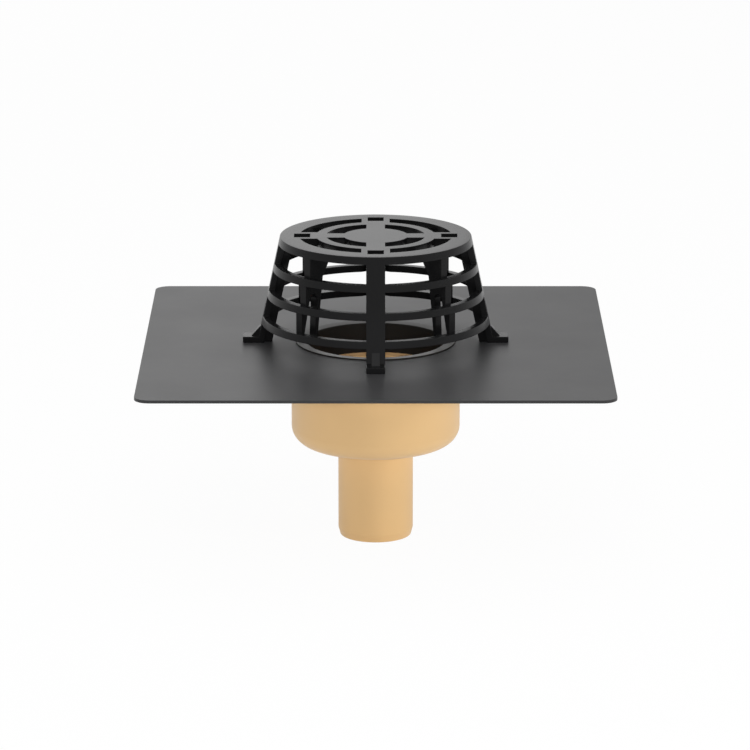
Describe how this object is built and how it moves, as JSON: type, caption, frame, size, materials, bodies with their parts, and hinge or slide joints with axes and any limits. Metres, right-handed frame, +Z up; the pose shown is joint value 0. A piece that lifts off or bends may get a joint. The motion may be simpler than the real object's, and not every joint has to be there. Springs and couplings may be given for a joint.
{
  "type": "flat roof drain",
  "caption": "Flat roof drain: moulded cup with a vertical spigot, square collar sheet, inlet ring and a loose slotted leaf guard.",
  "frame": {"origin": "centre of the spigot's lower end, on which the drain stands", "axes": "+Z up along the drain's axis, from the spigot to the leaf guard; +X and +Y square to the collar sheet's edges and along the guard's legs"},
  "size_m": [0.46, 0.46, 0.3075],
  "materials": {
    "guard_plastic": "black moulded plastic with a soft sheen",
    "membrane": "black roofing membrane, smooth and slightly satin",
    "ring_plastic": "black moulded plastic, slightly glossy",
    "foam_body": "beige hard integral foam with a closed matt skin"
  },
  "bodies": {
    "root": {"leaf_guard": "guard_plastic", "collar_sheet": "membrane", "inlet_ring": "ring_plastic", "drain_body": "foam_body"}
  },
  "joints": []
}
